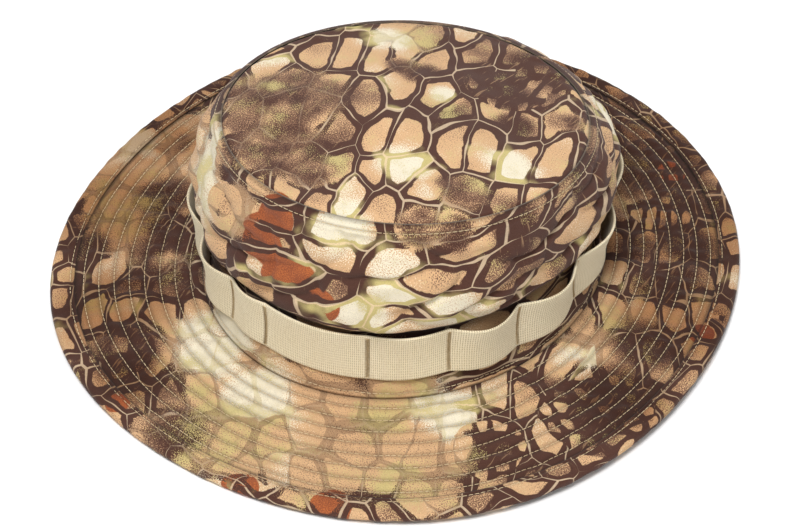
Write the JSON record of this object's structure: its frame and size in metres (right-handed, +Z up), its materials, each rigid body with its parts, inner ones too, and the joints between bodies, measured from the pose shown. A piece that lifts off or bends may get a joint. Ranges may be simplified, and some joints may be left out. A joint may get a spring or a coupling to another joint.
{
  "type": "boonie hat",
  "caption": "Soft cotton field hat with a wide quilted brim, a bound edge and a ring of webbing loops sewn round the crown.",
  "frame": {"origin": "on the surface that the brim rests on, below the middle of the hat", "axes": "+Z up, -Y out of the hat's front, +X to the wearer's left"},
  "size_m": [0.307, 0.321, 0.1045],
  "materials": {
    "print_cotton": null,
    "print_cotton_under": "the same cotton, its darker under side",
    "khaki_webbing": "ribbed nylon webbing",
    "twill_tape": "cotton twill tape",
    "interlining": "stiff woven backing",
    "blank_label": "blank woven label",
    "brown_thread": "close zigzag stitching",
    "cream_thread": "polyester thread"
  },
  "bodies": {
    "root": {"crown_top_panel": "print_cotton", "crown_side_panel": "print_cotton", "brim_upper": "print_cotton", "brim_edge_binding": "print_cotton", "brim_lower": "print_cotton_under", "branch_loop_webbing": "khaki_webbing", "sweatband": "twill_tape", "top_seam_binding": "twill_tape", "back_seam_tape": "twill_tape", "brim_interlining": "interlining", "size_label": "blank_label", "bartack_01": "brown_thread", "bartack_02": "brown_thread", "bartack_03": "brown_thread", "bartack_04": "brown_thread", "bartack_05": "brown_thread", "bartack_06": "brown_thread", "bartack_07": "brown_thread", "bartack_08": "brown_thread", "bartack_09": "brown_thread", "bartack_10": "brown_thread", "bartack_11": "brown_thread", "bartack_12": "brown_thread", "bartack_13": "brown_thread", "bartack_14": "brown_thread", "brim_stitch_row_1": "cream_thread", "brim_stitch_row_2": "cream_thread", "brim_stitch_row_3": "cream_thread", "brim_stitch_row_4": "cream_thread", "brim_stitch_row_5": "cream_thread", "brim_stitch_row_6": "cream_thread", "brim_stitch_row_7": "cream_thread", "brim_stitch_row_8": "cream_thread", "binding_stitch_row": "cream_thread", "crown_base_stitch_row": "cream_thread", "top_seam_stitch_row": "cream_thread", "sweatband_stitch_row": "cream_thread"}
  },
  "joints": []
}
